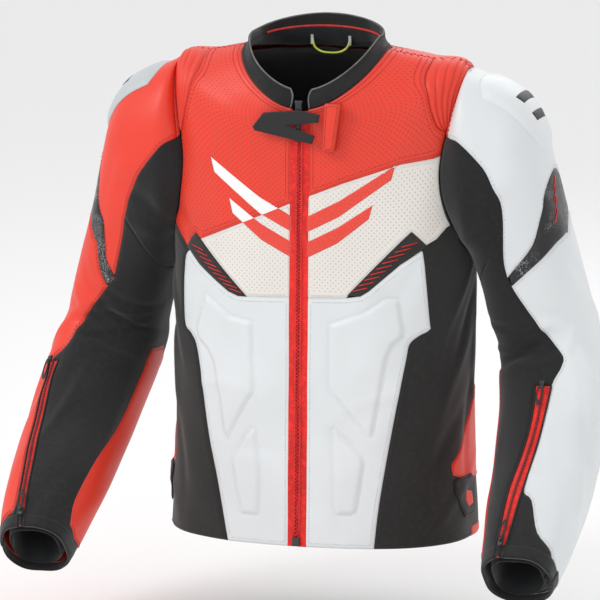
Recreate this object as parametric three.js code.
// A leather riding jacket, shaped as it stands on its wearer.
// Millimetres. +Z is up, -Y is the wearer's front and +X is the wearer's left.
// The origin lies on the centre plane, in the middle of the hanger, between the shoulder points.
import * as THREE from 'three';
import { mergeVertices } from 'three/addons/utils/BufferGeometryUtils.js';

const leather = 2.4;
const armourTop = -5.2;
const armourBottom = -10.4;
const liningTop = -12.4;
const liningBottom = -13.8;
const tapeHalf = 13;
const panelEdge = 13.6;
const coilHalf = 3;
const roundness = 2.5;
const armholeSpan = 34;
const armholeMiddle = 90;
const frontTop = -118.5;
const frontLean = 13.5 / 581;
const hemLevel = 0.03;
const capAngle = 38;

const colours = {
  red: { color: 0xb01219, roughness: 0.45 },
  white: { color: 0xe6e4de, roughness: 0.42 },
  black: { color: 0x17171a, roughness: 0.6 },
  gloss: { color: 0x08080a, roughness: 0.12 },
  stretch: { color: 0x101012, roughness: 0.9 },
  textile: { color: 0x1d1a1a, roughness: 0.85 },
  satin: { color: 0x131318, roughness: 0.5 },
  armour: { color: 0x2b2e33, roughness: 0.7 },
  tape: { color: 0xa8161c, roughness: 0.8 },
  metal: { color: 0x3a3b3e, roughness: 0.35, metalness: 0.9 },
  loop: { color: 0xc9d64a, roughness: 0.7 },
};

// Rings of the body, from the hem to the collar's top edge. front, side and back are heights.
const bodyRings = [
  { front: -601, side: -598, back: -596, half: 206, rear: 120, middle: 0 },
  { front: -500, side: -500, back: -500, half: 202, rear: 114, middle: 0 },
  { front: -400, side: -400, back: -400, half: 200, rear: 110, middle: 0 },
  { front: -300, side: -300, back: -300, half: 202, rear: 120, middle: 0 },
  { front: -200, side: -212, back: -205, half: 201, rear: 128, middle: 0 },
  { front: -125, side: -95, back: -112, half: 200, rear: 126, middle: 0 },
  { front: -62, side: 26, back: -10, half: 198, rear: 104, middle: 0 },
  { front: -38, side: 42, back: 36, half: 150, rear: 72, middle: -22 },
  { front: -20, side: 54, back: 54, half: 98, rear: 34, middle: -41 },
  { front: 5, side: 71, back: 89, half: 88, rear: 28, middle: -41 },
];

// Rings of a sleeve, from the shoulder seam to the cuff: the point next to the body, the point
// away from it, the place along Y, the half depth and how far the ring leans with the forearm.
const sleeveRings = [
  { near: [205, -212], far: [205, 24], y: 2, depth: 86, lean: 0 },
  { near: [209, -226], far: [262, -4], y: 5, depth: 84, lean: 0 },
  { near: [212, -240], far: [290, -42], y: 9, depth: 82, lean: 0 },
  { near: [216, -258], far: [306, -98], y: 14, depth: 79, lean: 0 },
  { near: [221, -282], far: [321, -160], y: 19, depth: 76, lean: 0 },
  { near: [227, -310], far: [339, -225], y: 24, depth: 73, lean: 0 },
  { near: [234, -338], far: [356, -288], y: 29, depth: 70, lean: 2 },
  { near: [236, -362], far: [369, -336], y: 30, depth: 68, lean: 10 },
  { near: [242, -395], far: [380, -385], y: 5, depth: 66, lean: 30 },
  { near: [252, -438], far: [390, -436], y: -35, depth: 63, lean: 42 },
  { near: [260, -489], far: [393, -489], y: -88, depth: 59, lean: 50 },
  { near: [266, -534], far: [391, -534], y: -148, depth: 55, lean: 53 },
  { near: [275, -572], far: [385, -572], y: -198, depth: 50, lean: 53 },
  { near: [283, -602], far: [375, -602], y: -237, depth: 45, lean: 53 },
];
const cuffEnd = sleeveRings.length;

const sides = [
  { name: 'left', sign: 1, zipTop: 272, zipCuff: 247 },
  { name: 'right', sign: -1, zipTop: 312, zipCuff: 281 },
];

const jacket = new THREE.Group();

function smooth(a, b, c, d, t) {
  const rise = c - a;
  const turn = 2 * a - 5 * b + 4 * c - d;
  const twist = 3 * (b - c) + d - a;
  return b + 0.5 * t * (rise + t * (turn + t * twist));
}

function along(rings, key, level) {
  const last = rings.length - 1;
  const start = Math.min(Math.max(Math.floor(level), 0), last - 1);
  const pick = (i) => rings[Math.min(Math.max(i, 0), last)][key];
  return smooth(pick(start - 1), pick(start), pick(start + 1), pick(start + 2), level - start);
}

function squareness(cosine, sine) {
  const sum = Math.abs(cosine) ** roundness + Math.abs(sine) ** roundness;
  return sum ** (-1 / roundness);
}

// The outer face of the body at an angle from the centre front and a level among the rings.
function bodyPoint(angle, level) {
  const turn = THREE.MathUtils.degToRad(angle);
  const sine = Math.sin(turn);
  const cosine = Math.cos(turn);
  const reach = squareness(cosine, sine);
  const middle = along(bodyRings, 'middle', level);
  const front = along(bodyRings, 'front', level);
  const end = cosine > 0 ? front : along(bodyRings, 'back', level);
  const fore = level > 8 ? frontTop + (level - 8) * 6 : frontTop + (front + 20) * frontLean;
  const depth = cosine > 0 ? middle - fore : along(bodyRings, 'rear', level) - middle;
  const x = along(bodyRings, 'half', level) * sine * reach;
  const y = middle - depth * cosine * reach;
  const z = THREE.MathUtils.lerp(end, along(bodyRings, 'side', level), sine * sine);
  return new THREE.Vector3(x, y, z);
}

function sleeveRing(ring, turn) {
  const reach = squareness(Math.cos(turn), Math.sin(turn));
  const across = Math.cos(turn) * reach;
  const forth = Math.sin(turn) * reach * ring.depth;
  const lean = THREE.MathUtils.degToRad(ring.lean);
  const x = (ring.near[0] + ring.far[0]) / 2 + (across * (ring.far[0] - ring.near[0])) / 2;
  const z = (ring.near[1] + ring.far[1]) / 2 + (across * (ring.far[1] - ring.near[1])) / 2;
  return new THREE.Vector3(x, ring.y + forth * Math.cos(lean), z - forth * Math.sin(lean));
}

// The outer face of a sleeve: level 0 is the armhole on the body and level 1 the first ring.
function sleevePoint(angle, level) {
  const turn = THREE.MathUtils.degToRad(angle);
  const start = Math.min(Math.max(Math.floor(level), 0), cuffEnd - 1);
  const at = (i) => {
    const index = Math.min(Math.max(i, 0), cuffEnd);
    if (index > 0) return sleeveRing(sleeveRings[index - 1], turn);
    return bodyPoint(armholeMiddle + armholeSpan * Math.sin(turn), 5 + Math.cos(turn));
  };
  const [a, b, c, d] = [at(start - 1), at(start), at(start + 1), at(start + 2)];
  const t = level - start;
  return new THREE.Vector3(
    smooth(a.x, b.x, c.x, d.x, t),
    smooth(a.y, b.y, c.y, d.y, t),
    smooth(a.z, b.z, c.z, d.z, t),
  );
}

// A face with a depth: positive depth is outwards, and sign -1 gives the wearer's right.
function shell(face, outwards, sign) {
  const nudge = 0.01;
  return (angle, level, depth) => {
    const point = face(angle, level);
    const around = face(angle + 0.5, level).sub(face(angle - 0.5, level));
    const up = face(angle, level + nudge).sub(face(angle, level - nudge));
    point.addScaledVector(around.cross(up).normalize(), depth * outwards);
    point.x *= sign;
    return point;
  };
}

function turnOutwards(solid) {
  const spots = solid.attributes.position;
  const corners = solid.index.array;
  const [a, b, c] = [new THREE.Vector3(), new THREE.Vector3(), new THREE.Vector3()];
  let volume = 0;
  for (let i = 0; i < corners.length; i += 3) {
    a.fromBufferAttribute(spots, corners[i]);
    b.fromBufferAttribute(spots, corners[i + 1]);
    c.fromBufferAttribute(spots, corners[i + 2]);
    volume += a.dot(b.cross(c));
  }
  if (volume > 0) return;
  for (let i = 0; i < corners.length; i += 3) {
    [corners[i], corners[i + 1]] = [corners[i + 1], corners[i]];
  }
}

function shaped(geometry, place) {
  geometry.deleteAttribute('normal');
  geometry.deleteAttribute('uv');
  const spots = geometry.attributes.position;
  for (let i = 0; i < spots.count; i++) {
    const spot = place(spots.getX(i), spots.getY(i), spots.getZ(i));
    spots.setXYZ(i, spot.x, spot.y, spot.z);
  }
  const solid = mergeVertices(geometry, 1e-3);
  turnOutwards(solid);
  solid.computeVertexNormals();
  return solid;
}

function add(name, colour, geometry) {
  const material = new THREE.MeshStandardMaterial({ metalness: 0, ...colours[colour] });
  const mesh = new THREE.Mesh(geometry, material);
  mesh.name = name;
  jacket.add(mesh);
  return mesh;
}

// A sheet between a bottom and a top depth. Each row gives its two ends as [angle, level].
function panel(name, colour, face, rows, { top = 0, bottom = -leather, columns = 8, steps = 1 } = {}) {
  const gaps = rows.length - 1;
  const block = new THREE.BoxGeometry(1, 1, 1, columns, gaps * steps, 1);
  const inset = 0.004;
  const solid = shaped(block, (x, y, z) => {
    const s = THREE.MathUtils.lerp(inset, 1 - inset, x + 0.5);
    const t = THREE.MathUtils.clamp(THREE.MathUtils.lerp(inset, 1 - inset, y + 0.5), 0, 1) * gaps;
    const row = Math.min(Math.floor(t), gaps - 1);
    const ends = [0, 1].map((end) =>
      [0, 1].map((part) => THREE.MathUtils.lerp(rows[row][end][part], rows[row + 1][end][part], t - row)));
    const angle = THREE.MathUtils.lerp(ends[0][0], ends[1][0], s);
    const level = THREE.MathUtils.lerp(ends[0][1], ends[1][1], s);
    return face(angle, level, THREE.MathUtils.lerp(bottom, top, z + 0.5));
  });
  return add(name, colour, solid);
}

// A sleeve of even thickness, all the way round, between two levels.
function tube(name, colour, face, from, to, { top = 0, bottom = -leather, around = 20, rings = 3 } = {}) {
  const profile = [];
  for (let i = 0; i <= rings; i++) profile.push(new THREE.Vector2(1, i / rings));
  for (let i = rings; i >= 0; i--) profile.push(new THREE.Vector2(2, i / rings));
  profile.push(new THREE.Vector2(1, 0));
  const solid = shaped(new THREE.LatheGeometry(profile, around), (x, y, z) => {
    const angle = THREE.MathUtils.radToDeg(Math.atan2(x, z));
    const depth = THREE.MathUtils.lerp(bottom, top, Math.hypot(x, z) - 1);
    return face(angle, THREE.MathUtils.lerp(from, to, y), depth);
  });
  return add(name, colour, solid);
}

function cord(name, colour, points, radius, steps) {
  const section = new THREE.Shape();
  section.absarc(0, 0, radius, 0, 2 * Math.PI);
  const extrudePath = new THREE.CatmullRomCurve3(points);
  const tubeLike = new THREE.ExtrudeGeometry(section, { steps, curveSegments: 8, extrudePath });
  return add(name, colour, shaped(tubeLike, (x, y, z) => new THREE.Vector3(x, y, z)));
}

function plate(name, colour, outline, back, front) {
  const shape = new THREE.Shape(outline.map(([x, z]) => new THREE.Vector2(x, z)));
  const slab = new THREE.ExtrudeGeometry(shape, { depth: back - front, bevelEnabled: false });
  return add(name, colour, shaped(slab, (x, y, z) => new THREE.Vector3(x, back - z, y)));
}

function block(name, colour, size, centre) {
  const mesh = add(name, colour, new THREE.BoxGeometry(...size));
  mesh.position.set(...centre);
  return mesh;
}

function bodyShell(sign) {
  return shell(bodyPoint, 1, sign);
}

function angleAcross(x, level) {
  let low = 0;
  let high = 90;
  for (let i = 0; i < 30; i++) {
    const middle = (low + high) / 2;
    if (bodyPoint(middle, level).x < x) low = middle;
    else high = middle;
  }
  return low;
}

const across = (x, level) => [angleAcross(x, level), level];

function armhole(turn) {
  const angle = THREE.MathUtils.degToRad(turn);
  return [armholeMiddle + armholeSpan * Math.sin(angle), 5 + Math.cos(angle)];
}

// The chest's outer edge climbs the front of the armhole and then runs along the shoulder seam.
const chestRows = [
  [across(panelEdge, 3.02), [55, 3.02]],
  [across(panelEdge, 3.7), [61, 3.7]],
  [across(panelEdge, 4.1), armhole(213)],
  [across(panelEdge, 4.5), armhole(240)],
  [across(panelEdge, 5), armhole(270)],
  [across(panelEdge, 5.5), armhole(300)],
  [across(panelEdge, 5.95), armhole(330)],
  [across(panelEdge, 6.5), armhole(355)],
  [across(panelEdge, 7.3), [89, 7]],
  [across(panelEdge, 7.95), [89, 7.95]],
];

const bellyRows = [
  [across(panelEdge, hemLevel), across(102, hemLevel)],
  [across(panelEdge, 0.8), across(110, 0.8)],
  [across(panelEdge, 1.8), across(128, 1.8)],
  [across(panelEdge, 2.4), across(142, 2.4)],
  [across(panelEdge, 2.7), across(166, 2.7)],
  [across(panelEdge, 2.98), [54.5, 2.98]],
];

const flankRows = [
  [across(103.5, hemLevel), [117, hemLevel]],
  [across(111.5, 0.8), [117, 0.8]],
  [across(129.5, 1.8), [117, 1.8]],
  [across(143.5, 2.4), [117, 2.4]],
  [across(167.5, 2.7), [117, 2.7]],
  [[56, 3.02], [117, 3.02]],
  [[62, 3.7], [117, 3.7]],
  [[68, 3.9], [113, 3.9]],
];

const backRows = [
  [[118, 3.78], [242, 3.78]],
  [armhole(147), [360 - armhole(147)[0], armhole(147)[1]]],
  [armhole(120), [360 - armhole(120)[0], armhole(120)[1]]],
  [armhole(90), [360 - armhole(90)[0], armhole(90)[1]]],
  [armhole(60), [360 - armhole(60)[0], armhole(60)[1]]],
  [armhole(30), [360 - armhole(30)[0], armhole(30)[1]]],
  [armhole(6), [360 - armhole(6)[0], armhole(6)[1]]],
  [[91, 7], [269, 7]],
  [[91, 7.95], [269, 7.95]],
];

const shrunk = (rows, trim) => rows.map(([[a, low], [b, high]]) => [[a + trim, low], [b - trim, high]]);
const liningDepth = { top: liningTop, bottom: liningBottom };
const liningRows = [
  [across(20, 0.1), [114, 0.1]],
  [across(20, 1.4), [114, 1.4]],
  [across(20, 2.8), [114, 2.8]],
  [across(20, 3.7), [108, 3.7]],
  ...shrunk(chestRows.slice(2), 2),
];

function torso() {
  for (const { name, sign } of sides) {
    const face = bodyShell(sign);
    panel(`chest_${name}`, 'red', face, chestRows, { columns: 8 });
    panel(`front_lower_${name}`, 'white', face, bellyRows, { columns: 6 });
    panel(`flank_${name}`, 'textile', face, flankRows, { columns: 8 });
    panel(`lining_front_${name}`, 'satin', face, liningRows, { ...liningDepth, columns: 8 });
    shoulderStretch(name, sign);
  }
  const face = bodyShell(1);
  panel('back_upper', 'red', face, backRows, { columns: 12, steps: 2 });
  panel('back_stretch', 'stretch', face, [
    [[118, 2.52], [242, 2.52]],
    [[118, 3.1], [242, 3.1]],
    [[118, 3.74], [242, 3.74]],
  ], { columns: 12 });
  panel('back_lower', 'white', face, [
    [[118, hemLevel], [242, hemLevel]],
    [[118, 1.2], [242, 1.2]],
    [[118, 2.48], [242, 2.48]],
  ], { columns: 12 });
  panel('back_protector', 'armour', face, [
    [[150, 2.2], [210, 2.2]],
    [[140, 3.2], [220, 3.2]],
    [[135, 4.2], [225, 4.2]],
    [[138, 5.2], [222, 5.2]],
  ], { top: armourTop, bottom: armourBottom, steps: 2 });
  panel('lining_back', 'satin', face, [
    [[118, 0.1], [242, 0.1]],
    [[118, 1.9], [242, 1.9]],
    ...shrunk(backRows, 2),
  ], { ...liningDepth, columns: 10, steps: 2 });
}

// The ribbed stretch piece at the front of each shoulder, and the leather round the armhole.
function shoulderStretch(name, sign) {
  const face = shell(sleevePoint, -1, sign);
  panel(`shoulder_stretch_${name}`, 'red', face, [
    [[279, 0.12], [352, 0.12]],
    [[279, 0.93], [352, 0.93]],
  ], { columns: 8, steps: 2 });
  panel(`armhole_${name}`, 'black', face, [
    [[-6, 0.12], [277, 0.12]],
    [[-6, 0.8], [277, 0.8]],
  ], { columns: 20, steps: 2 });
}

function collar() {
  const face = bodyShell(1);
  panel('collar', 'stretch', face, [
    [[8, 8.12], [352, 8.12]],
    [[7, 8.6], [353, 8.6]],
    [[9, 9], [351, 9]],
  ], { bottom: -4, columns: 28 });
  const tie = face(180, 8.1, -8);
  const span = 26;
  const drop = 16;
  const loopPoints = [
    [-span, 0, 2], [-span * 0.85, -2, -drop * 0.6], [-span * 0.4, -3, -drop],
    [span * 0.4, -3, -drop], [span * 0.85, -2, -drop * 0.6], [span, 0, 2],
  ].map(([x, y, z]) => new THREE.Vector3(x, tie.y + y, tie.z + z));
  cord('hanger_loop', 'loop', loopPoints, 1.8, 20);
}

const zipLevels = [hemLevel, 1, 2, 3, 4, 5, 6, 7, 7.9];
const frontAt = (z) => frontTop + (z + 20) * frontLean;
const sliderZ = -15;
const sliderHeight = 15;

function mainZip() {
  for (const { name, sign } of sides) {
    const rows = zipLevels.map((level) => [across(coilHalf + 0.6, level), across(tapeHalf, level)]);
    panel(`zip_tape_${name}`, 'tape', bodyShell(sign), rows, { bottom: -1.2, columns: 1 });
  }
  const top = -32;
  const bottom = -584;
  const coil = new THREE.BoxGeometry(2 * coilHalf, 2, top - bottom, 1, 1, 6);
  add('zip_coil', 'tape', shaped(coil, (x, y, z) => {
    const height = z + (top + bottom) / 2;
    return new THREE.Vector3(x, frontAt(height) - 0.6 + y, height);
  }));
  block('zip_end_box', 'metal', [12, 5, 12], [0, frontAt(-592) - 3, -592]);
  const sliderFront = frontAt(sliderZ) - 2.4;
  block('main_slider', 'metal', [11, 4.2, sliderHeight], [0, sliderFront - 2.1, sliderZ]);
  block('main_pull', 'metal', [9, 1.5, 42], [0, sliderFront - 5.4, sliderZ - 25]);
}

function throatClosure() {
  const tabBack = -128.9;
  const tabFront = -130.9;
  plate('throat_tab', 'black', [
    [-61, -43], [-58, -48], [20, -63], [24, -52], [-14, -40], [29, -34], [31, -24], [2, -19], [-46, -24],
  ], tabBack, tabFront);
  plate('throat_flap', 'red', [[38, -9], [59, -9], [50, -72], [34, -72]], frontTop - 1.5, tabFront - 2.4);
}

// Side adjusters: a tab sewn at its rear end lies forward over the hem panel.
function waistTabs() {
  for (const { name, sign } of sides) {
    const face = bodyShell(sign);
    const tab = [[[64, 0.66], [89, 0.7]], [[64, 0.98], [89, 0.94]]];
    panel(`waist_tab_${name}`, 'black', face, tab, { top: 3.4, bottom: 1, columns: 5 });
  }
  block('trouser_zip', 'tape', [140, 3.4, 16], [0, 97.5, -574]);
}

const zipAngle = (side, level) =>
  THREE.MathUtils.mapLinear(level, 9.1, cuffEnd, side.zipTop, side.zipCuff);

function sleeve(side) {
  const face = shell(sleevePoint, -1, side.sign);
  const name = side.name;
  const colour = side.sign > 0 ? 'white' : 'red';
  const edge = [[1.2, 302], [1.6, 298], [2.1, 295], [2.6, 291], [3.1, 288], [3.7, 284], [4.3, 283],
    [5.2, 285], [6.1, 294], [7, 308]];
  panel(`upper_outer_${name}`, colour, face, edge.map(([k, a]) => [[a - 360, k], [129, k]]), { columns: 10 });
  panel(`upper_inner_${name}`, 'stretch', face, edge.map(([k, a]) => [[131, k], [a - 2, k]]), { columns: 8 });
  tube(`elbow_stretch_${name}`, 'stretch', face, 7.12, 8.88, { rings: 3 });
  const forearm = [9, 9.4, 9.8, 10.4, 11, 12, 13, 13.95];
  const gusset = (k) => Math.max(0, k - 11.4) * 13;
  panel(`forearm_outer_${name}`, colour, face, forearm.map((k) =>
    [[zipAngle(side, k) + 7.5 + gusset(k) - 360, k], [129, k]]), { columns: 9 });
  panel(`forearm_inner_${name}`, 'red', face, forearm.map((k) =>
    [[131, k], [zipAngle(side, k) - 6, k]]), { columns: 7 });
  panel(`cuff_gusset_${name}`, 'black', face, [12, 13, 13.95].map((k) =>
    [[zipAngle(side, k) + 6, k], [zipAngle(side, k) + 6.5 + gusset(k), k]]), { columns: 3 });
  panel(`cuff_zip_tape_${name}`, 'tape', face, [9.2, 9.6, 10.1, 10.6, 11.2, 12, 13, 13.95].map((k) =>
    [[zipAngle(side, k) - 5, k], [zipAngle(side, k) + 5, k]]), { bottom: -1.6, columns: 2 });
  panel(`shoulder_cup_${name}`, side.sign > 0 ? 'white' : 'black', face, [1.6, 2.1, 2.6, 3.1, 3.7].map((k) =>
    [[-capAngle, k], [capAngle, k]]), { top: 5.6, bottom: 1, columns: 6 });
  panel(`shoulder_armour_${name}`, 'armour', face, [2.1, 2.6, 3.1, 3.7, 4.3].map((k) =>
    [[-48, k], [48, k]]), { top: armourTop, bottom: armourBottom, columns: 6 });
  panel(`elbow_armour_${name}`, 'armour', face, [9.4, 9.8, 10.4, 11].map((k) =>
    [[12, k], [100, k]]), { top: armourTop, bottom: armourBottom, columns: 6 });
  tube(`lining_sleeve_${name}`, 'satin', face, 1.3, 13.9, { ...liningDepth, rings: 12, around: 14 });
  cuffPulls(side, face);
}

// Two sliders share each cuff zip: one starts at the elbow end and one at the cuff.
function cuffPulls(side, face) {
  const ends = [
    { end: 'upper', from: 9.6, to: 10.6 },
    { end: 'lower', from: 13.5, to: 12.2 },
  ];
  for (const { end, from, to } of ends) {
    const start = face(zipAngle(side, from), from, 0);
    const finish = face(zipAngle(side, to), to, 0);
    const out = face(zipAngle(side, from), from, 1).sub(start);
    const course = finish.clone().sub(start).normalize();
    const frame = new THREE.Matrix4();
    const width = new THREE.Vector3().crossVectors(course, out).normalize();
    const outward = new THREE.Vector3().crossVectors(width, course).normalize();
    frame.makeBasis(width, course, outward);
    const turn = new THREE.Quaternion().setFromRotationMatrix(frame);
    const piece = (name, size, lift, reach) => {
      const mesh = add(name, 'metal', new THREE.BoxGeometry(...size));
      mesh.quaternion.copy(turn);
      mesh.position.copy(start).addScaledVector(outward, lift).addScaledVector(course, reach);
    };
    piece(`cuff_slider_${end}_${side.name}`, [8, 10, 3.4], 5, 0);
    piece(`cuff_pull_${end}_${side.name}`, [7, 34, 1.4], 8, 17);
  }
}

torso();
collar();
mainZip();
throatClosure();
waistTabs();
for (const side of sides) sleeve(side);

export default jacket;
